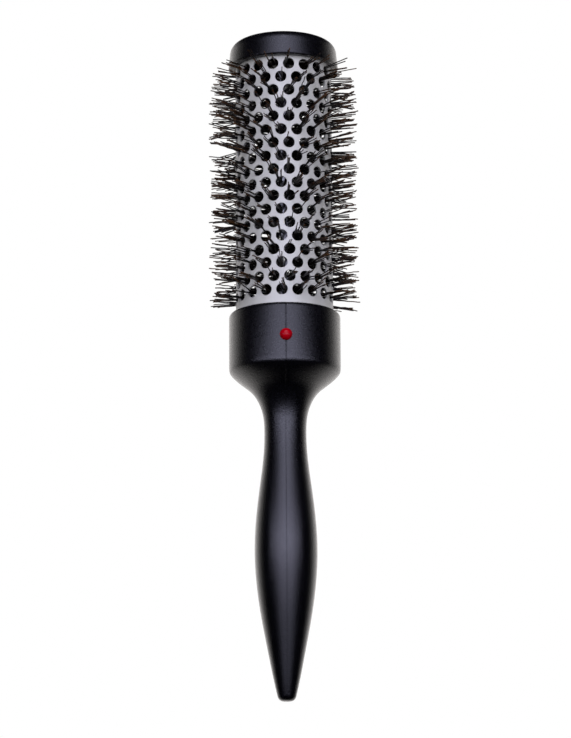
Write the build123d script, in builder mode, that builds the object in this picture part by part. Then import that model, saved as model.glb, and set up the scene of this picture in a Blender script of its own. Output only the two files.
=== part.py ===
"""Round barrel brush: a perforated metal barrel on a moulded handle, with a bristle core inside.

Millimetres. The brush stands upright on +Z, with the tip of its tail at the origin and its end
cap at the top. The parting line of the handle and the red stud face -Y.
"""

from build123d import *
import math
import os

# Barrel
barrel_radius = 16.5
barrel_wall = 0.8
barrel_bottom = 118.2
barrel_top = 224.4

# Perforation: staggered rows, counted from the end cap down
row_count = 18
holes_per_row = 19
hole_radius = 1.95
row_pitch = 4.66
top_row_z = 215.5
first_column_angle = -94.3        # where a hole of the second, fourth, ... row stands

# Bristles
bristle_tip_radius = 25.2
bristle_bundle = 1.3              # side of the square bundle in one hole
bristle_root_width = 0.7          # a bundle narrows towards the wires that hold it
bristle_root_end = 4.6            # radius where it has its full width
bristle_tip_width = 0.8
bristle_tip_length = 0.5

# Twisted wire core
wire_radius = 1.0
wire_gap = 0.3                    # the filaments are squeezed in this gap
twist_pitch = 22.0
wire_bottom = 86.0
wire_top = 223.2

# Handle and collar
tip_radius = 3.1
grip_radius = 10.5
neck_radius = 7.05
neck_z = 90.0
collar_radius = 18.85
collar_bottom = 113.2
collar_top = 131.5
collar_rounding = 1.7
shell_wall = 2.4

# End cap
cap_radius = 18.85
cap_shoulder_radius = 18.35
cap_bottom = 218.2
cap_top = 227.4
cap_top_rounding = 3.8
cap_bottom_rounding = 0.7
cap_roof = 2.6

# Red stud
stud_z = 120.1
stud_radius = 2.1
stud_dome = 1.5
stud_sink = 0.5
stud_shank_radius = 1.0

# Fits
slip = 0.1                        # radial gap between the barrel and what holds it
spigot_wall = 2.0
channel_radius = 2 * wire_radius + wire_gap / 2 + 0.15

os.makedirs("parts", exist_ok=True)


def save(part, name):
    """Labels a finished piece and writes it as its own file."""
    part.label = name
    export_step(part, f"parts/{name}.step")


def ring_cut(outer, inner, bottom, top):
    """Cuts a ring-shaped groove, or a plain bore when inner is 0, into the part being built."""
    with BuildSketch(Plane.XY.offset(bottom)) as ring:
        Circle(outer)
        if inner:
            Circle(inner, mode=Mode.SUBTRACT)
    extrude(ring.sketch, amount=top - bottom, mode=Mode.SUBTRACT)


# Handle: both shells are cut from one turned body -------------------------------------------------

spigot_radius = barrel_radius - barrel_wall - slip
spigot_bore = spigot_radius - spigot_wall
pocket_radius = barrel_radius + slip
clamp_bottom = 85.0
clamp_top = 102.5
shoulder_hollow_top = 114.0
rib_places = (34.0, 62.0)
rib_half = 1.6
grip_cavity = (
    (1.6, 14.0),
    (neck_radius - shell_wall - 0.6, 24.0),
    (grip_radius - shell_wall, 46.0),
    (grip_radius - shell_wall, 56.0),
    (neck_radius - shell_wall, 82.0),
)

with BuildPart() as handle_body:
    with BuildSketch(Plane.XZ):
        with BuildLine():
            Spline((0, 0), (2.4, 0.55), (tip_radius, 1.7), tangents=[(1, 0), (0.25, 1)])
            Spline(
                (tip_radius, 1.7),
                (6.12, 16),
                (9.01, 32),
                (grip_radius, 50.5),
                (9.11, 69),
                (neck_radius, neck_z),
                tangents=[(0.25, 1), (0, 1)],
            )
            Spline(
                (neck_radius, neck_z),
                (8.16, 99),
                (11.3, 104.5),
                (15.6, 108.1),
                (18.2, 110.6),
                (collar_radius, collar_bottom),
                tangents=[(0, 1), (0, 1)],
            )
            Line((collar_radius, collar_bottom), (collar_radius, collar_top - collar_rounding))
            RadiusArc(
                (collar_radius, collar_top - collar_rounding),
                (collar_radius - collar_rounding, collar_top),
                -collar_rounding,
            )
            Line((collar_radius - collar_rounding, collar_top), (0, collar_top))
            Line((0, collar_top), (0, 0))
        make_face()
    revolve(axis=Axis.Z)

    # Pocket for the end of the barrel, around the spigot that fills its bore
    ring_cut(pocket_radius, spigot_radius, barrel_bottom - 0.2, collar_top + 1)
    ring_cut(spigot_bore, 0, shoulder_hollow_top, collar_top + 1)

    # Hollow of the shoulder, tapering to the clamped wire
    with BuildSketch(Plane.XZ):
        with BuildLine():
            Polyline(
                (0, clamp_top),
                (4.0, clamp_top),
                (7.2, 106),
                (spigot_bore, 112),
                (spigot_bore, shoulder_hollow_top),
                (0, shoulder_hollow_top),
                close=True,
            )
        make_face()
    revolve(axis=Axis.Z, mode=Mode.SUBTRACT)

    # Channel that grips the twisted wires
    ring_cut(channel_radius, 0, clamp_bottom, clamp_top + 1)

    # Hollow of the grip
    with BuildSketch(Plane.XZ):
        with BuildLine():
            Spline(*grip_cavity)
            Polyline(grip_cavity[-1], (0, grip_cavity[-1][1]), (0, grip_cavity[0][1]), grip_cavity[0])
        make_face()
    revolve(axis=Axis.Z, mode=Mode.SUBTRACT)

    # Cross ribs that carry the locating pins
    for rib_z in rib_places:
        with BuildSketch(Plane.XY.offset(rib_z - rib_half)):
            Circle(grip_radius - shell_wall + 0.4)
        extrude(amount=2 * rib_half)

    # Seat of the red stud
    with BuildSketch(Plane.XZ.offset(collar_radius - stud_sink)):
        with Locations((0, stud_z)):
            Circle(stud_radius + 0.05)
    extrude(amount=stud_sink + 1, mode=Mode.SUBTRACT)
    with BuildSketch(Plane.XZ.offset(pocket_radius + 0.3)):
        with Locations((0, stud_z)):
            Circle(stud_shank_radius + 0.05)
    extrude(amount=collar_radius, mode=Mode.SUBTRACT)

# Locating pins on the left shell enter sockets in the right one
pin_length = 2.6
grip_pins = [(0, rib_z) for rib_z in rib_places]
collar_pins = [(16.2, 115.2), (-16.2, 115.2)]


def locating_pins(grip_pin_radius, collar_pin_radius, length, mode):
    """Round pins across the parting plane: one on each grip rib, two under the barrel pocket."""
    with BuildSketch(Plane.YZ) as pins:
        with Locations(*grip_pins):
            Circle(grip_pin_radius)
        with Locations(*collar_pins):
            Circle(collar_pin_radius)
    extrude(pins.sketch, amount=length, mode=mode)


with BuildPart() as handle_left:
    add(handle_body.part)
    split(bisect_by=Plane.YZ, keep=Keep.BOTTOM)
    locating_pins(1.5, 0.9, pin_length, Mode.ADD)

with BuildPart() as handle_right:
    add(handle_body.part)
    split(bisect_by=Plane.YZ, keep=Keep.TOP)
    locating_pins(1.6, 1.0, pin_length + 0.3, Mode.SUBTRACT)

save(handle_left.part, "handle_left")
save(handle_right.part, "handle_right")

# Red stud: a domed head on a short shank ------------------------------------------------------------

dome_radius = (stud_radius**2 + stud_dome**2) / (2 * stud_dome)
stud_base = collar_radius - stud_sink
stud_crown = collar_radius + stud_dome

with BuildPart() as red_stud:
    with BuildSketch(Plane.XY.offset(stud_z)):
        with BuildLine():
            Line((0, -stud_crown), (0, -pocket_radius - 0.4))
            Line((0, -pocket_radius - 0.4), (stud_shank_radius, -pocket_radius - 0.4))
            Line((stud_shank_radius, -pocket_radius - 0.4), (stud_shank_radius, -stud_base - 0.05))
            Line((stud_shank_radius, -stud_base - 0.05), (stud_radius, -stud_base - 0.05))
            Line((stud_radius, -stud_base - 0.05), (stud_radius, -collar_radius))
            RadiusArc((stud_radius, -collar_radius), (0, -stud_crown), dome_radius)
        make_face()
    revolve(axis=Axis((0, 0, stud_z), (0, 1, 0)))

save(red_stud.part, "red_stud")

# Barrel: a thin tube with every hole punched square to its wall --------------------------------------


def row_z(row):
    """Height of a row of holes, counted from 0 at the end cap."""
    return top_row_z - row * row_pitch


def row_angle(row):
    """Direction of one hole of a row, in degrees. Neighbouring rows are half a hole apart."""
    half_step = 180 / holes_per_row
    return first_column_angle + (half_step if row % 2 == 0 else 0)


hole_planes = []
for row in range(row_count):
    for column in range(holes_per_row):
        angle = math.radians(row_angle(row) + column * 360 / holes_per_row)
        outward = (math.cos(angle), math.sin(angle), 0)
        hole_planes.append(Plane(origin=(0, 0, row_z(row)), x_dir=(0, 0, 1), z_dir=outward))

with BuildPart() as barrel:
    with BuildSketch(Plane.XY.offset(barrel_bottom)):
        Circle(barrel_radius)
        Circle(barrel_radius - barrel_wall, mode=Mode.SUBTRACT)
    extrude(amount=barrel_top - barrel_bottom)
    with BuildSketch(*hole_planes):
        Circle(hole_radius)
    extrude(amount=barrel_radius + 1, mode=Mode.SUBTRACT)

save(barrel.part, "barrel")

# Twisted core: two wires round each other, with room for the filaments between them ------------------

with BuildPart() as core_wire_a:
    with BuildLine() as strand:
        Helix(
            pitch=twist_pitch,
            height=wire_top - wire_bottom,
            radius=wire_radius + wire_gap / 2,
            center=(0, 0, wire_bottom),
        )
    with BuildSketch(Plane(origin=strand.line @ 0, z_dir=strand.line % 0)):
        Circle(wire_radius)
    sweep(path=strand.line, is_frenet=True)

with BuildPart() as core_wire_b:
    add(core_wire_a.part.rotate(Axis.Z, 180))

save(core_wire_a.part, "core_wire_a")
save(core_wire_b.part, "core_wire_b")

# Bristle rows: one bundle of filaments through each hole, rooted round the wires ----------------------

bundle_half = [
    (channel_radius + 0.1, bristle_root_width / 2),
    (bristle_root_end, bristle_bundle / 2),
    (bristle_tip_radius - bristle_tip_length, bristle_bundle / 2),
    (bristle_tip_radius, bristle_tip_width / 2),
]
bundle_outline = bundle_half + [(radius, -width) for radius, width in reversed(bundle_half)]

for row in range(row_count):
    with BuildPart() as bristle_row:
        with BuildSketch(Plane.XY.offset(row_z(row) - bristle_bundle / 2)):
            with PolarLocations(0, holes_per_row, start_angle=row_angle(row)):
                Polygon(*bundle_outline, align=None)
        extrude(amount=bristle_bundle)
    save(bristle_row.part, f"bristle_row_{row + 1:02d}")

# End cap: skirt over the barrel, spigot in its bore and a socket for the wires ------------------------

cap_rib_count = 6
cap_rib_width = 1.2
cap_rib_bottom = 221.5
socket_outer = 4.2
ceiling = cap_top - cap_roof

with BuildPart() as end_cap:
    with BuildSketch(Plane.XZ):
        with BuildLine():
            Line((0, cap_bottom), (cap_radius - cap_bottom_rounding, cap_bottom))
            RadiusArc(
                (cap_radius - cap_bottom_rounding, cap_bottom),
                (cap_radius, cap_bottom + cap_bottom_rounding),
                -cap_bottom_rounding,
            )
            Line(
                (cap_radius, cap_bottom + cap_bottom_rounding),
                (cap_shoulder_radius, cap_top - cap_top_rounding),
            )
            RadiusArc(
                (cap_shoulder_radius, cap_top - cap_top_rounding),
                (cap_shoulder_radius - cap_top_rounding, cap_top),
                -cap_top_rounding,
            )
            Line((cap_shoulder_radius - cap_top_rounding, cap_top), (0, cap_top))
            Line((0, cap_top), (0, cap_bottom))
        make_face()
    revolve(axis=Axis.Z)

    # Groove for the rim of the barrel, and the hollow between spigot and socket
    ring_cut(pocket_radius, spigot_radius, cap_bottom - 1, barrel_top + 0.2)
    ring_cut(spigot_bore, socket_outer, cap_bottom - 1, ceiling)
    ring_cut(socket_outer + 1, 0, cap_bottom - 1, cap_bottom + 1)
    ring_cut(channel_radius, 0, cap_bottom - 1, wire_top + 0.6)

    # Ribs between spigot and socket
    with BuildSketch(Plane.XY.offset(cap_rib_bottom)):
        with PolarLocations(0, cap_rib_count):
            with Locations((socket_outer - 0.5, 0)):
                Rectangle(spigot_bore - socket_outer + 1, cap_rib_width, align=(Align.MIN, Align.CENTER))
    extrude(amount=ceiling - cap_rib_bottom)

save(end_cap.part, "end_cap")
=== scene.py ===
"""Round barrel brush: the looks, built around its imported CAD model. Metres, in the CAD frame.

The brush stands on +Z with its tail at the origin. Each bristle row is rebuilt as loose crimped
filaments, and the barrel, handle shells and stud as fine meshes on the CAD's dimensions. The cap
and the core wires keep their CAD meshes and get new materials.
"""

import math
import random

import bmesh
import bpy
import numpy as np
from mathutils import Matrix, Vector
from mathutils.bvhtree import BVHTree


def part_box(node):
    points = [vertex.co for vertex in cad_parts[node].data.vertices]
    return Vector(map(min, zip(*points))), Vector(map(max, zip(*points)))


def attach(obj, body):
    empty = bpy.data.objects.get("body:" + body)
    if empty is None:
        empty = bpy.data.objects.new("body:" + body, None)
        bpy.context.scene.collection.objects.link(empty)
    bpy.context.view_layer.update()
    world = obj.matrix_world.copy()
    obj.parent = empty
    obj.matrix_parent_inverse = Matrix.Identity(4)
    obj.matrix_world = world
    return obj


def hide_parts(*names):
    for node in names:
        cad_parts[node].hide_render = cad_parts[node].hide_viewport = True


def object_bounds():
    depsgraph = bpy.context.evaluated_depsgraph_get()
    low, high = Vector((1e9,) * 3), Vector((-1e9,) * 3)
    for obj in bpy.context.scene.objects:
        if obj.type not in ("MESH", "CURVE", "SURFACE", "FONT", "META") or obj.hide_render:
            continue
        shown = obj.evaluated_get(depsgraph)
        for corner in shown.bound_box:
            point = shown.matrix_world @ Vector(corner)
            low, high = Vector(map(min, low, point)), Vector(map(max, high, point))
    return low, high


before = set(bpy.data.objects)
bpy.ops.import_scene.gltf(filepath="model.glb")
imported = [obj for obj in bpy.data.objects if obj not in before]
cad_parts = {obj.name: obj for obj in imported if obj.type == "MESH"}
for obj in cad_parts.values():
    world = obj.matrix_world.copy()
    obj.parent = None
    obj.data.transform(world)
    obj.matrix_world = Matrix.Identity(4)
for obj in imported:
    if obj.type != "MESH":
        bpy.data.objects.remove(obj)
cad_low, cad_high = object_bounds()

MM = 0.001
TAU = 2 * math.pi
FRONT = -math.pi / 2              # azimuth of -Y, where the parting line and the stud are

# Sizes that the CAD gives --------------------------------------------------------------------------

barrel_low, barrel_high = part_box("barrel")
barrel_radius = barrel_high.x
barrel_wall = 0.8 * MM
collar_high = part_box("handle_left")[1]
stud_low, stud_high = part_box("red_stud")
rows = sorted(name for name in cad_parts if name.startswith("bristle_row_"))
row_heights = [sum(corner.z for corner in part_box(name)) / 2 for name in rows]
row_pitch = (row_heights[0] - row_heights[-1]) / (len(rows) - 1)
tip_radius = cad_high.x

# Perforation, as in the CAD
HOLES_PER_ROW = 19
HOLE_RADIUS = 1.95 * MM
HOLE_STEP = TAU / HOLES_PER_ROW
FIRST_COLUMN = math.radians(-94.3)


def row_angle(row):
    """Azimuth of one hole of a row, counted from 0 at the cap."""
    return FIRST_COLUMN + (HOLE_STEP / 2 if row % 2 == 0 else 0)


# Mesh helpers ----------------------------------------------------------------------------------------


def add_mesh(name, points, faces, smooth=True):
    """A new smooth or flat object from points and faces."""
    mesh = bpy.data.meshes.new(name)
    mesh.from_pydata([tuple(p) for p in points], [], [tuple(f) for f in faces])
    mesh.validate()
    mesh.polygons.foreach_set("use_smooth", [smooth] * len(mesh.polygons))
    mesh.update()
    piece = bpy.data.objects.new(name, mesh)
    bpy.context.scene.collection.objects.link(piece)
    return piece


def weld(piece, distance=0.002 * MM):
    """Joins points that coincide, and turns every face outwards."""
    build = bmesh.new()
    build.from_mesh(piece.data)
    bmesh.ops.remove_doubles(build, verts=build.verts, dist=distance)
    bmesh.ops.recalc_face_normals(build, faces=build.faces)
    build.to_mesh(piece.data)
    build.free()


def place(piece, material, slot, *nodes):
    """Gives a finished piece its material and its body, and hides the CAD nodes it stands for; the slot is
    not used.
    """
    piece.data.materials.append(material)
    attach(piece, "root")
    if nodes:
        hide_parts(*nodes)
    return piece


# Materials --------------------------------------------------------------------------------------------


class Nodes:
    """A new material's node tree, with short calls to add and join nodes."""

    def __init__(self, name):
        self.material = bpy.data.materials.new(name)
        self.material.use_nodes = True
        self.tree = self.material.node_tree
        self.shader = self.tree.nodes["Principled BSDF"]
        self.position = self.add("ShaderNodeTexCoord").outputs["Object"]

    def add(self, kind, inputs=None, **settings):
        """Adds a node. An input that is another node's socket is joined, any other is set."""
        node = self.tree.nodes.new(kind)
        for key, value in settings.items():
            setattr(node, key, value)
        for key, value in (inputs or {}).items():
            self.set(node, key, value)
        return node

    def set(self, node, key, value):
        """Joins or sets one input of a node."""
        if isinstance(value, bpy.types.NodeSocket):
            self.tree.links.new(value, node.inputs[key])
        else:
            node.inputs[key].default_value = value

    def scaled(self, factors):
        """Object coordinates with each axis multiplied."""
        return self.add("ShaderNodeMapping", {"Vector": self.position, "Scale": factors}).outputs["Vector"]

    def noise(self, scale, detail=3.0, roughness=0.5, vector=None):
        """Plain noise between 0 and 1; scale is in cells per metre."""
        inputs = {
            "Vector": vector or self.position,
            "Scale": scale,
            "Detail": detail,
            "Roughness": roughness,
        }
        return self.add("ShaderNodeTexNoise", inputs).outputs["Fac"]

    def remap(self, value, low, high, to_low, to_high):
        """Value carried from one range to another, held at its ends."""
        inputs = {"Value": value, "From Min": low, "From Max": high, "To Min": to_low, "To Max": to_high}
        return self.add("ShaderNodeMapRange", inputs).outputs["Result"]

    def ramp(self, value, *stops):
        """A colour ramp through (place, colour) stops."""
        node = self.add("ShaderNodeValToRGB", {"Fac": value})
        elements = node.color_ramp.elements
        while len(elements) < len(stops):
            elements.new(0.5)
        for element, (place, colour) in zip(elements, stops):
            element.position = place
            element.color = (*colour, 1.0)
        return node.outputs["Color"]

    def bump(self, height, depth, strength=1.0, normal=None):
        """A bump of that depth in metres."""
        inputs = {"Height": height, "Distance": depth, "Strength": strength}
        if normal is not None:
            inputs["Normal"] = normal
        return self.add("ShaderNodeBump", inputs).outputs["Normal"]

    def finish(self, **sockets):
        """Sets the shader's sockets, named with underscores for spaces, and returns the material."""
        for key, value in sockets.items():
            self.set(self.shader, key.replace("_", " "), value)
        return self.material


def black_plastic():
    """Moulded black plastic: spark-eroded grain, uneven sheen and a few soft handling marks."""
    n = Nodes("black_plastic")
    grain = n.noise(2100, 2.0, 0.65)
    mottle = n.noise(700, 3.0, 0.55)
    wear = n.noise(90, 5.0, 0.6)
    scratches = n.noise(900, 2.0, 0.5, n.scaled((1.0, 1.0, 0.06)))
    base = n.ramp(wear, (0.3, (0.0008, 0.0008, 0.0012)), (0.75, (0.0016, 0.0015, 0.0022)))
    fleck = n.remap(n.noise(3200, 1.0, 0.5), 0.5, 0.75, 0.0, 1.0)
    colour = n.add("ShaderNodeMix", {"Factor": fleck}, data_type="RGBA")
    n.set(colour, 6, base)
    n.set(colour, 7, (0.0050, 0.0048, 0.0085, 1.0))
    height = n.add("ShaderNodeSeparateXYZ", {"Vector": n.position}).outputs["Z"]
    worn = n.remap(height, 0.055, 0.1, 0.21, 0.28)
    patches = n.remap(mottle, 0.3, 0.7, -0.03, 0.03)
    sheen_map = n.add("ShaderNodeMath", {0: patches, 1: worn}, operation="ADD")
    fine = n.bump(grain, 0.00008, 0.9)
    broad = n.bump(scratches, 0.00002, 0.25, fine)
    return n.finish(
        Base_Color=colour.outputs[2],
        Roughness=sheen_map.outputs["Value"],
        IOR=1.5,
        Specular_IOR_Level=0.5,
        Normal=broad,
    )


def coated_metal():
    """Barrel: aluminium under a satin ceramic-like coat, faintly uneven, with fine speckle."""
    n = Nodes("coated_metal")
    speckle = n.noise(6000, 2.0, 0.6)
    cloud = n.noise(240, 4.0, 0.55)
    drawn = n.noise(1400, 2.0, 0.5, n.scaled((1.0, 1.0, 0.05)))
    colour = n.ramp(cloud, (0.3, (0.464, 0.464, 0.461)), (0.72, (0.532, 0.531, 0.528)))
    dull = n.add("ShaderNodeMath", {0: n.remap(cloud, 0.3, 0.7, 0.42, 0.52)}, operation="ADD")
    n.set(dull, 1, n.remap(drawn, 0.3, 0.7, -0.03, 0.04))
    fine = n.bump(speckle, 0.00002, 0.35)
    lines = n.bump(drawn, 0.00001, 0.2, fine)
    return n.finish(Base_Color=colour, Metallic=0.12, Roughness=dull.outputs["Value"], Normal=lines)


def glossy_red():
    """Stud: clear bright red plastic, glossy, with a deeper tone in its depth."""
    n = Nodes("glossy_red")
    cloud = n.noise(900, 2.0)
    colour = n.ramp(cloud, (0.3, (0.30, 0.0, 0.004)), (0.7, (0.37, 0.001, 0.008)))
    dull = n.remap(n.noise(2500, 2.0), 0.3, 0.7, 0.05, 0.08)
    return n.finish(Base_Color=colour, Roughness=dull, Specular_IOR_Level=0.18)


def nylon():
    """Bristles: brown-black nylon with a wet gloss, a random tone per filament, and painted backlight that
    turns them browner towards the tips.
    """
    n = Nodes("nylon")
    shade = n.add("ShaderNodeAttribute", attribute_name="shade").outputs["Fac"]
    streak = n.noise(1500, 2.0)
    mixed = n.add("ShaderNodeMath", {0: n.remap(streak, 0.3, 0.7, -0.15, 0.15), 1: shade}, operation="ADD")
    dark = (0.0020, 0.0011, 0.0006)
    # The brown end is partly the filaments' own random tone and partly painted backlight at their tips
    brown = (0.075, 0.034, 0.012)
    colour = n.ramp(mixed.outputs["Value"], (0.4, dark), (0.95, brown))
    dull = n.remap(n.noise(4000, 2.0), 0.3, 0.7, 0.28, 0.4)
    return n.finish(Base_Color=colour, Roughness=dull, Specular_IOR_Level=0.2, IOR=1.5)


def steel_wire():
    """Core wires: drawn steel with fine lengthwise lines."""
    n = Nodes("steel_wire")
    lines = n.noise(3000, 3.0, 0.6)
    colour = n.ramp(lines, (0.3, (0.42, 0.42, 0.43)), (0.7, (0.58, 0.58, 0.59)))
    dull = n.remap(lines, 0.3, 0.7, 0.25, 0.42)
    return n.finish(Base_Color=colour, Metallic=1.0, Roughness=dull, Normal=n.bump(lines, 0.00002, 0.3))


PLASTIC = black_plastic()
METAL = coated_metal()
RED = glossy_red()
NYLON = nylon()
STEEL = steel_wire()


# Handle shells ----------------------------------------------------------------------------------------

GROOVE_DEPTH = 0.05 * MM          # of each shell's edge at the parting line
GROOVE_HALF_WIDTH = 0.07 * MM
GROOVE_HEIGHTS = (0.095, 0.11)    # the groove is finest below the first and full above the second
GROOVE_SHARES = (0.38, 1.0)
SHELL_STEPS = 96                  # facets round each half shell


def outer_profile(node):
    """(radius, height) of a turned CAD node's outside, from the vertices that nothing lies outside of."""
    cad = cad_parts[node]
    mesh = cad.data
    tree = BVHTree.FromPolygons([v.co for v in mesh.vertices], [tuple(p.vertices) for p in mesh.polygons])
    found = {}
    for vertex in mesh.vertices:
        if abs(vertex.co.x) > 1e-6 or vertex.co.y < 0:
            continue
        # A little inside the shell, so that the ray can't slip along its flat parting face
        start = vertex.co + Vector((-2e-5, 2e-5, 0))
        if tree.ray_cast(start, Vector((0, 1, 0)))[0] is None:
            height = round(vertex.co.z / 1e-6)
            found[height] = max(found.get(height, 0), vertex.co.y)
    return [(radius, height * 1e-6) for height, radius in sorted(found.items())]


def half_shell(name, start, outside, inside):
    """A turned half, from azimuth start round by half a turn, with a groove down both its outer edges.

    outside and inside are (radius, height) points up the outer face and back down the hollows.
    """
    outline = outside + inside
    points = []
    for index, (radius, height) in enumerate(outline):
        share = float(np.interp(height, GROOVE_HEIGHTS, GROOVE_SHARES))
        edge = min(GROOVE_HALF_WIDTH * share / max(radius, 0.01 * MM), 0.01)
        sunk = max(radius - GROOVE_DEPTH * share, 0) if index < len(outside) else radius
        turns = [start, *np.linspace(start + edge, start + math.pi - edge, SHELL_STEPS), start + math.pi]
        reaches = [sunk, *[radius] * SHELL_STEPS, sunk]
        for reach, turn in zip(reaches, turns):
            points.append((reach * math.cos(turn), reach * math.sin(turn), height))
    width = SHELL_STEPS + 2
    faces = []
    for level in range(len(outline) - 1):
        for column in range(width - 1):
            corner = level * width + column
            faces.append((corner, corner + 1, corner + width + 1, corner + width))
    near_edge = [level * width for level in range(len(outline))]
    faces.append(near_edge)
    faces.append([corner + width - 1 for corner in reversed(near_edge)])
    shell = add_mesh(name, points, faces)
    weld(shell)
    return shell


BARREL_PLAY = 0.1 * MM            # between the barrel and the walls on both sides of it
SPIGOT_WALL = 2 * MM
CHANNEL_RADIUS = 2.3 * MM         # of the bore for the core wires

pocket_radius = barrel_radius + BARREL_PLAY
pocket_floor = barrel_low.z
spigot_radius = barrel_radius - barrel_wall - BARREL_PLAY
spigot_bore = spigot_radius - SPIGOT_WALL
channel_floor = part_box("core_wire_a")[0].z
outside = [
    (radius, height)
    for radius, height in outer_profile("handle_left")
    if radius >= pocket_radius or height < pocket_floor
]
rim = outside[-1][1]
inside = [
    (pocket_radius, rim),
    (pocket_radius, pocket_floor),
    (spigot_radius, pocket_floor),
    (spigot_radius, rim),
    (spigot_bore, rim),
    (spigot_bore, pocket_floor),
    (CHANNEL_RADIUS, pocket_floor),
    (CHANNEL_RADIUS, channel_floor),
    (0, channel_floor),
]
for name, start in {"handle_right": FRONT, "handle_left": FRONT + math.pi}.items():
    shell = half_shell(f"{name}_shell", start, outside, inside)
    place(shell, PLASTIC, "handle_plastic", name)

for node, material in {"end_cap": PLASTIC, "core_wire_a": STEEL, "core_wire_b": STEEL}.items():
    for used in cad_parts[node].material_slots:
        used.material = material


# Red stud ---------------------------------------------------------------------------------------------

STUD_DOME = 1.5 * MM              # height of the head over the collar
STUD_SUNK = 0.55 * MM             # depth of the head's rim in the collar
STUD_SHANK = 1.0 * MM
STUD_BEVEL = 0.03 * MM
STUD_STEPS = 72
DOME_STEPS = 24


def stud_mesh():
    """The domed head and its shank, turned about the stud's own axis."""
    rim = (stud_high.x - stud_low.x) / 2
    height = (stud_high.z + stud_low.z) / 2
    ball = (rim**2 + STUD_DOME**2) / (2 * STUD_DOME)
    reach = math.asin(rim / ball)
    outline = []
    for step in range(1, DOME_STEPS + 1):
        tilt = reach * step / DOME_STEPS
        outline.append((ball * math.sin(tilt), stud_low.y + ball * (1 - math.cos(tilt))))
    base = stud_low.y + STUD_DOME + STUD_SUNK
    outline += [
        (rim, stud_low.y + STUD_DOME + STUD_BEVEL),
        (rim, base - STUD_BEVEL),
        (rim - STUD_BEVEL, base),
        (STUD_SHANK + STUD_BEVEL, base),
        (STUD_SHANK, base + STUD_BEVEL),
        (STUD_SHANK, stud_high.y - STUD_BEVEL),
        (STUD_SHANK - STUD_BEVEL, stud_high.y),
    ]
    points = [(0, stud_low.y, height)]
    for radius, depth in outline:
        for step in range(STUD_STEPS):
            turn = TAU * step / STUD_STEPS
            points.append((radius * math.cos(turn), depth, height + radius * math.sin(turn)))
    faces = [(0, 1 + step, 1 + (step + 1) % STUD_STEPS) for step in range(STUD_STEPS)]
    for level in range(len(outline) - 1):
        near, far = 1 + level * STUD_STEPS, 1 + (level + 1) * STUD_STEPS
        for step in range(STUD_STEPS):
            following = (step + 1) % STUD_STEPS
            faces.append((near + step, far + step, far + following, near + following))
    faces.append([1 + (len(outline) - 1) * STUD_STEPS + step for step in range(STUD_STEPS)])
    return points, faces


stud = add_mesh("red_stud_turned", *stud_mesh())
weld(stud)
place(stud, RED, "red_plastic", "red_stud")


# Barrel -----------------------------------------------------------------------------------------------

CELL_SIDE = 8                     # segments along each side of the cell round a hole
HOLE_BEVEL = 0.045 * MM
GRID_COLUMNS = HOLES_PER_ROW * CELL_SIDE


def barrel_mesh():
    """The punched tube: one square cell of faces round each hole, laid like bricks, and plain end bands."""
    points, faces, grid = [], [], {}
    inner = barrel_radius - barrel_wall

    def grid_point(column, height, radius):
        """A shared corner of the cells, made once."""
        column %= GRID_COLUMNS
        key = (column, round(height / 1e-7), radius)
        if key not in grid:
            turn = FIRST_COLUMN + column * TAU / GRID_COLUMNS
            grid[key] = len(points)
            points.append((radius * math.cos(turn), radius * math.sin(turn), height))
        return grid[key]

    def ring(centre, height, reach, radius, bearings):
        """Points round a hole, at reach from its axis, on the tube of that radius."""
        first = len(points)
        for bearing in bearings:
            across = reach * math.cos(bearing)
            turn = centre + math.asin(across / radius)
            rise = reach * math.sin(bearing)
            points.append((radius * math.cos(turn), radius * math.sin(turn), height + rise))
        return list(range(first, len(points)))

    half = CELL_SIDE // 2
    loop = [(step - half, -half) for step in range(CELL_SIDE)]
    loop += [(half, step - half) for step in range(CELL_SIDE)]
    loop += [(half - step, half) for step in range(CELL_SIDE)]
    loop += [(-half, half - step) for step in range(CELL_SIDE)]
    step_across = barrel_radius * HOLE_STEP / CELL_SIDE
    step_up = row_pitch / CELL_SIDE
    bearings = [math.atan2(up * step_up, across * step_across) for across, up in loop]
    levels = (
        (HOLE_RADIUS + 2.2 * HOLE_BEVEL, barrel_radius),
        (HOLE_RADIUS + HOLE_BEVEL, barrel_radius),
        (HOLE_RADIUS + 0.3 * HOLE_BEVEL, barrel_radius - 0.3 * HOLE_BEVEL),
        (HOLE_RADIUS, barrel_radius - HOLE_BEVEL),
        (HOLE_RADIUS, inner),
    )
    for row, height in enumerate(row_heights):
        for hole in range(HOLES_PER_ROW):
            column = hole * CELL_SIDE + (half if row % 2 == 0 else 0)
            centre = FIRST_COLUMN + column * TAU / GRID_COLUMNS
            cell = [(column + across, height + up * step_up) for across, up in loop]
            loops = [[grid_point(c, z, barrel_radius) for c, z in cell]]
            loops += [ring(centre, height, reach, radius, bearings) for reach, radius in levels]
            loops.append([grid_point(c, z, inner) for c, z in cell])
            for outside, inside in zip(loops, loops[1:]):
                for a in range(len(loop)):
                    b = (a + 1) % len(loop)
                    faces.append((outside[a], outside[b], inside[b], inside[a]))

    top_edge = row_heights[0] + row_pitch / 2
    bottom_edge = row_heights[-1] - row_pitch / 2
    bands = (
        [top_edge, (top_edge + barrel_high.z) / 2, barrel_high.z],
        [bottom_edge, bottom_edge - 1.2 * MM, collar_high.z - 1.0 * MM, barrel_low.z],
    )
    for band in bands:
        for radius in (barrel_radius, inner):
            for low, high in zip(band, band[1:]):
                for column in range(GRID_COLUMNS):
                    corners = [(column, low), (column + 1, low), (column + 1, high), (column, high)]
                    faces.append(tuple(grid_point(c, z, radius) for c, z in corners))
        for column in range(GRID_COLUMNS):
            outer_pair = [(column, barrel_radius), (column + 1, barrel_radius)]
            inner_pair = [(column + 1, inner), (column, inner)]
            faces.append(tuple(grid_point(c, band[-1], radius) for c, radius in outer_pair + inner_pair))
    return points, faces


tube = add_mesh("barrel_tube", *barrel_mesh())
weld(tube, 0.0002 * MM)
place(tube, METAL, "barrel_metal", "barrel")


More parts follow.
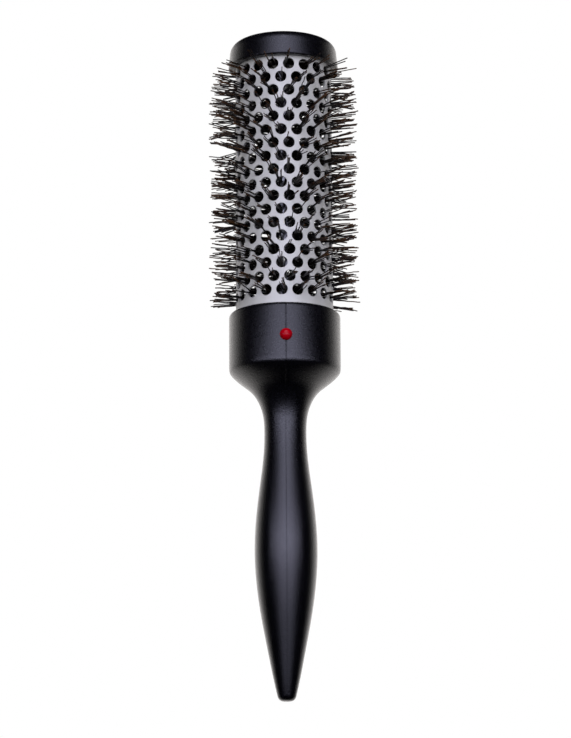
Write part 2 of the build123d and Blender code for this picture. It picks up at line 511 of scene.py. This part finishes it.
# Bristles ---------------------------------------------------------------------------------------------

FILAMENT_RADIUS = 0.185 * MM
FILAMENT_SIDES = 6
CORE_RADIUS = 2.3 * MM
OUTER_STEPS = 26                  # points along a filament that leaves the barrel
INNER_STEPS = 12                  # points along one that stays inside
INNER_PER_ROW = 22
ROOT_PULL = 0.012                 # how far the roots are drawn towards the middle row
ROOT_DROP = 0.9 * MM              # the roots lie a little lower than the holes
CRIMP_LENGTH = 3.0 * MM
draw = random.Random(19)


def filament(path, radius, shade):
    """A closed tube of FILAMENT_SIDES round a path, as (points, faces, shades)."""
    path = np.array(path)
    run = np.gradient(path, axis=0)
    run /= np.linalg.norm(run, axis=1)[:, None]
    side = np.cross(run, (0, 0, 1))
    side /= np.linalg.norm(side, axis=1)[:, None]
    up = np.cross(side, run)
    points = []
    for centre_point, to_side, to_top in zip(path, side, up):
        for corner in range(FILAMENT_SIDES):
            turn = corner * TAU / FILAMENT_SIDES
            points.append(centre_point + radius * (math.cos(turn) * to_side + math.sin(turn) * to_top))
    faces = []
    for level in range(len(path) - 1):
        for corner in range(FILAMENT_SIDES):
            a = level * FILAMENT_SIDES + corner
            b = level * FILAMENT_SIDES + (corner + 1) % FILAMENT_SIDES
            faces.append((a, b, b + FILAMENT_SIDES, a + FILAMENT_SIDES))
    last = (len(path) - 1) * FILAMENT_SIDES
    faces.append(tuple(reversed(range(FILAMENT_SIDES))))
    faces.append(tuple(range(last, last + FILAMENT_SIDES)))
    # Painted backlight: each point's colour turns browner towards the tip, as if light shone through the
    # thin nylon ends
    reach = np.hypot(path[:, 0], path[:, 1])
    backlit_share = np.clip((reach - barrel_radius) / (tip_radius - barrel_radius), 0, 1)
    shades = np.repeat(shade + 0.5 * backlit_share, FILAMENT_SIDES)
    return points, faces, shades


def crimped(start, through, end, steps, depth, phase, length):
    """A path from start through a point to end, waved in one plane across its run."""
    start, through, end = (np.array(p) for p in (start, through, end))
    first = np.linalg.norm(through - start)
    second = np.linalg.norm(end - through)
    along = np.linspace(0, first + second, steps)
    path = np.where(
        (along < first)[:, None],
        start + (through - start) * (along / first)[:, None],
        through + (end - through) * ((along - first) / second)[:, None],
    )
    run = (end - start) / np.linalg.norm(end - start)
    side = np.cross(run, (0, 0, 1))
    side /= np.linalg.norm(side)
    up = np.cross(side, run)
    tilt = draw.uniform(0, TAU)
    across = math.cos(tilt) * side + math.sin(tilt) * up
    fade = np.clip(along / (2 * CRIMP_LENGTH), 0, 1)
    wave = depth * fade * np.sin(TAU * along / length + phase)
    return path + wave[:, None] * across


def polar(radius, turn, height):
    """A point from its radius, azimuth and height."""
    return (radius * math.cos(turn), radius * math.sin(turn), height)


def bundle_size():
    """How many filaments find one hole."""
    return draw.choices((1, 2, 3, 4, 5, 6, 7, 9), (3, 8, 14, 19, 21, 17, 11, 7))[0]


def outer_filaments(row, hole):
    """The filaments that leave through one hole, in one or two loose bundles."""
    height = row_heights[row]
    turn = row_angle(row) + hole * HOLE_STEP
    middle = (row_heights[0] + row_heights[-1]) / 2
    paths = []
    count = bundle_size()
    groups = 1 if count < 4 else 2
    for group in range(groups):
        root_turn = turn + draw.gauss(0, 0.16)
        root_height = height - ROOT_PULL * (height - middle) - ROOT_DROP + draw.gauss(0, 1.1 * MM)
        bearing = draw.uniform(0, TAU)
        reach = HOLE_RADIUS * 0.6 * math.sqrt(draw.random())
        group_lean = np.array([draw.gauss(0, 0.06) for _ in range(3)])
        for _ in range(count // groups + (1 if group < count % groups else 0)):
            across = reach * math.cos(bearing) + draw.gauss(0, 0.27 * MM)
            rise = reach * math.sin(bearing) + draw.gauss(0, 0.27 * MM)
            size = math.hypot(across, rise)
            limit = HOLE_RADIUS - FILAMENT_RADIUS - 0.05 * MM
            if size > limit:
                across, rise = across * limit / size, rise * limit / size
            start_turn = root_turn + draw.gauss(0, 0.1)
            start = polar(CORE_RADIUS, start_turn, root_height + draw.gauss(0, 0.5 * MM))
            through = polar(barrel_radius, turn + across / barrel_radius, height + rise)
            tip = min(tip_radius + 0.5 * MM, draw.gauss(tip_radius - 0.7 * MM, 0.7 * MM))
            run = np.array(through) - np.array(start)
            run /= np.linalg.norm(run)
            run += group_lean + np.array([draw.gauss(0, 0.026) for _ in range(3)])
            outward = np.array([math.cos(turn), math.sin(turn), 0])
            end = np.array(through) + run * (tip - barrel_radius) / np.dot(run, outward)
            paths.append((start, through, tuple(end)))
    return paths


def inner_filaments(row):
    """Filaments that missed the holes, and lie bent against the inside of the barrel."""
    paths = []
    wall = barrel_radius - barrel_wall - 2 * FILAMENT_RADIUS
    for _ in range(INNER_PER_ROW):
        turn = draw.uniform(0, TAU)
        height = row_heights[row] + draw.uniform(-0.5, 0.5) * row_pitch
        reach = wall * draw.uniform(0.72, 0.95)
        swing = draw.gauss(0, 0.12)
        start = polar(CORE_RADIUS, turn, height)
        through = polar(reach * 0.7, turn + swing * 0.4, height + draw.gauss(0, 0.5 * MM))
        end = polar(reach, turn + swing, height + draw.gauss(0, 1.4 * MM))
        paths.append((start, through, end))
    return paths


def bristle_mesh(row):
    """All filaments of one row as one mesh, with a shade for each point."""
    points, faces, shades = [], [], []
    jobs = [(path, OUTER_STEPS) for hole in range(HOLES_PER_ROW) for path in outer_filaments(row, hole)]
    jobs += [(path, INNER_STEPS) for path in inner_filaments(row)]
    for (start, through, end), steps in jobs:
        depth = draw.uniform(0.02, 0.09) * MM
        length = CRIMP_LENGTH * draw.uniform(0.9, 1.3)
        path = crimped(start, through, end, steps, depth, draw.uniform(0, TAU), length)
        size = FILAMENT_RADIUS * draw.uniform(0.88, 1.08)
        new_points, new_faces, new_shades = filament(path, size, draw.uniform(0.0, 0.45))
        offset = len(points)
        points.extend(new_points)
        faces.extend(tuple(index + offset for index in face) for face in new_faces)
        shades.extend(new_shades)
    return points, faces, shades


for row, name in enumerate(rows):
    points, faces, shades = bristle_mesh(row)
    piece = add_mesh(f"{name}_filaments", points, faces)
    attribute = piece.data.attributes.new("shade", "FLOAT", "POINT")
    attribute.data.foreach_set("value", shades)
    place(piece, NYLON, "nylon_bristle", name)


# Camera, light and floor ------------------------------------------------------------------------------

CAMERA_DISTANCE = 1.047
CAMERA_BELOW_TOP_ROW = 0.3491
CAMERA_ASIDE = 0.00017
CAMERA_TURN = math.radians(-1.3)  # the parting line stands a little right of the front
CAMERA_PITCH = math.radians(13.23)
CAMERA_ROLL = math.radians(-0.35)
CAMERA_LENS = 155.5

camera_data = bpy.data.cameras.new("camera")
camera_data.lens = CAMERA_LENS
camera_data.sensor_width = 36
camera_data.clip_start = 0.01
camera = bpy.data.objects.new("camera", camera_data)
bpy.context.scene.collection.objects.link(camera)
camera.matrix_world = (
    Matrix.Rotation(CAMERA_TURN, 4, "Z")
    @ Matrix.Translation((CAMERA_ASIDE, -CAMERA_DISTANCE, row_heights[0] - CAMERA_BELOW_TOP_ROW))
    @ Matrix.Rotation(math.pi / 2 + CAMERA_PITCH, 4, "X")
    @ Matrix.Rotation(CAMERA_ROLL, 4, "Z")
)
bpy.context.scene.camera = camera


# The studio round the brush: white to the camera, and to reflections one soft bluish front box,
# a small lamp above it, dark flags at its sides and a white backdrop behind that lights the edges.
# Angles are in degrees.
FRONT_STRENGTH = 2.62
BACK_STRENGTH = 1.5
FRONT_TINT = (0.745, 0.748, 1.0, 1)
BACK_TINT = (1.0, 0.965, 0.95, 1)
LAMP_STRENGTH = 7.0
LAMP_ELEVATION = 46.0
LAMP_RADIUS = 8.0
FLOOR_GLOW = 0.88


def softbox(name, place_at, look_at, width, height, power, colour=(1, 1, 1)):
    """A rectangular area light that faces look_at."""
    data = bpy.data.lights.new(name, "AREA")
    data.shape = "RECTANGLE"
    data.size = width
    data.size_y = height
    data.energy = power
    data.color = colour
    light = bpy.data.objects.new(name, data)
    bpy.context.scene.collection.objects.link(light)
    facing = (Vector(look_at) - Vector(place_at)).to_track_quat("-Z", "Y")
    light.matrix_world = Matrix.Translation(place_at) @ facing.to_matrix().to_4x4()
    return light


centre = (0, 0, 0.12)
FILL_POWER = 23
OVERHEAD_POWER = 22
fill = softbox("fill_box", (0, -1.6, 0.5), centre, 3.2, 2.0, FILL_POWER, (1.0, 0.98, 0.76))
fill.visible_glossy = False
overhead = softbox("overhead_box", (0.2, 0.4, 1.7), centre, 1.6, 1.6, OVERHEAD_POWER, (1.0, 0.97, 0.91))
overhead.visible_glossy = False

# Three low boxes on an arc round the grip, seen only in its gloss
ARC_RADIUS = 0.3
ARC_HEIGHT = 0.118
BOX_HEIGHT = 0.06
for name, bearing, half_width, radiance in (
    ("grip_box_left", -45, 15, 2.8),
    ("grip_box_middle", 0, 31, 2.9),
    ("grip_box_right", 43, 11, 2.6),
):
    turn = math.radians(bearing)
    width = 2 * ARC_RADIUS * math.tan(math.radians(half_width))
    stand = (ARC_RADIUS * math.sin(turn), -ARC_RADIUS * math.cos(turn), ARC_HEIGHT)
    power = radiance * math.pi * width * BOX_HEIGHT
    box = softbox(name, stand, (0, 0, 0.05), width, BOX_HEIGHT, power, FRONT_TINT[:3])
    box.visible_camera = False
    box.visible_diffuse = False

FLOOR_REACH = 30.0
FLOOR_HEIGHT = -0.32
floor_mesh = bpy.data.meshes.new("floor")
floor_corners = [(x * FLOOR_REACH, y * FLOOR_REACH, 0) for x, y in ((-1, -1), (1, -1), (1, 1), (-1, 1))]
floor_mesh.from_pydata(floor_corners, [], [(0, 1, 2, 3)])
floor = bpy.data.objects.new("floor", floor_mesh)
floor.location.z = FLOOR_HEIGHT
bpy.context.scene.collection.objects.link(floor)
pale = Nodes("pale_floor")
glow_map = pale.ramp(pale.noise(3.0, 3.0), (0.3, (FLOOR_GLOW - 0.01,) * 3), (0.7, (FLOOR_GLOW + 0.01,) * 3))
floor_mesh.materials.append(
    pale.finish(
        Base_Color=(0.0, 0.0, 0.0, 1),
        Roughness=0.9,
        Specular_IOR_Level=0.0,
        Emission_Color=glow_map,
        Emission_Strength=1.0,
    )
)
# The floor glows evenly, and neither lights the brush nor shows in its gloss
floor.visible_glossy = False
floor.visible_diffuse = False

world = bpy.data.worlds.new("studio")
bpy.context.scene.world = world
world.use_nodes = True
studio = world.node_tree
studio.nodes.clear()


def studio_math(operation, first, second=0.0):
    """A sum or other operation on two numbers or sockets of the studio's node tree."""
    node = studio.nodes.new("ShaderNodeMath")
    node.operation = operation
    for index, value in enumerate((first, second)):
        if isinstance(value, bpy.types.NodeSocket):
            studio.links.new(value, node.inputs[index])
        else:
            node.inputs[index].default_value = value
    return node.outputs["Value"]


def studio_step(value, low, high):
    """A smooth step from 0 at low to 1 at high."""
    node = studio.nodes.new("ShaderNodeMapRange")
    node.interpolation_type = "SMOOTHSTEP"
    studio.links.new(value, node.inputs["Value"])
    if low < high:
        node.inputs["From Min"].default_value = low
        node.inputs["From Max"].default_value = high
        return node.outputs["Result"]
    node.inputs["From Min"].default_value = high
    node.inputs["From Max"].default_value = low
    node.inputs["To Min"].default_value = 1.0
    node.inputs["To Max"].default_value = 0.0
    return node.outputs["Result"]


compass = studio.nodes.new("ShaderNodeTexCoord")
axes = studio.nodes.new("ShaderNodeSeparateXYZ")
studio.links.new(compass.outputs["Generated"], axes.inputs["Vector"])
to_degrees = 180 / math.pi
ahead = studio_math("MULTIPLY", axes.outputs["Y"], -1.0)
bearing = studio_math("ABSOLUTE", studio_math("ARCTAN2", axes.outputs["X"], ahead))
azimuth = studio_math("MULTIPLY", bearing, to_degrees)
elevation = studio_math("MULTIPLY", studio_math("ARCSINE", axes.outputs["Z"]), to_degrees)

front = studio_math("MULTIPLY", studio_step(azimuth, 54, 12), studio_step(elevation, -24, 4))
front = studio_math("MULTIPLY", front, studio_step(elevation, 68, 48))
behind = studio_step(axes.outputs["Y"], 0.08, 0.85)
backdrop = studio_math("MULTIPLY", behind, studio_step(elevation, 38, 20))

# A small bare lamp above the camera, for the glint on the stud
from_lamp = studio_math(
    "ADD",
    studio_math("POWER", azimuth, 2.0),
    studio_math("POWER", studio_math("SUBTRACT", elevation, LAMP_ELEVATION), 2.0),
)
lamp = studio_step(from_lamp, LAMP_RADIUS * LAMP_RADIUS, 0.3 * LAMP_RADIUS * LAMP_RADIUS)

glows = []
for amount, strength, tint in (
    (front, FRONT_STRENGTH, FRONT_TINT),
    (backdrop, BACK_STRENGTH, BACK_TINT),
    (lamp, LAMP_STRENGTH, FRONT_TINT),
):
    glow = studio.nodes.new("ShaderNodeBackground")
    glow.inputs["Color"].default_value = tint
    studio.links.new(studio_math("MULTIPLY", amount, strength), glow.inputs["Strength"])
    glows.append(glow)
both = studio.nodes.new("ShaderNodeAddShader")
studio.links.new(glows[0].outputs["Background"], both.inputs[0])
studio.links.new(glows[1].outputs["Background"], both.inputs[1])
lights = studio.nodes.new("ShaderNodeAddShader")
studio.links.new(both.outputs["Shader"], lights.inputs[0])
studio.links.new(glows[2].outputs["Background"], lights.inputs[1])
seen = studio.nodes.new("ShaderNodeBackground")
ray = studio.nodes.new("ShaderNodeLightPath")
chosen = studio.nodes.new("ShaderNodeMixShader")
output = studio.nodes.new("ShaderNodeOutputWorld")
seen.inputs["Color"].default_value = (1, 1, 1, 1)
rise = studio_math("MULTIPLY", studio_step(elevation, 0.2, 5.5), 1 - FLOOR_GLOW)
studio.links.new(studio_math("ADD", rise, FLOOR_GLOW), seen.inputs["Strength"])
studio.links.new(ray.outputs["Is Camera Ray"], chosen.inputs["Fac"])
studio.links.new(lights.outputs["Shader"], chosen.inputs[1])
studio.links.new(seen.outputs["Background"], chosen.inputs[2])
studio.links.new(chosen.outputs["Shader"], output.inputs["Surface"])

bpy.context.scene.view_settings.view_transform = "Standard"
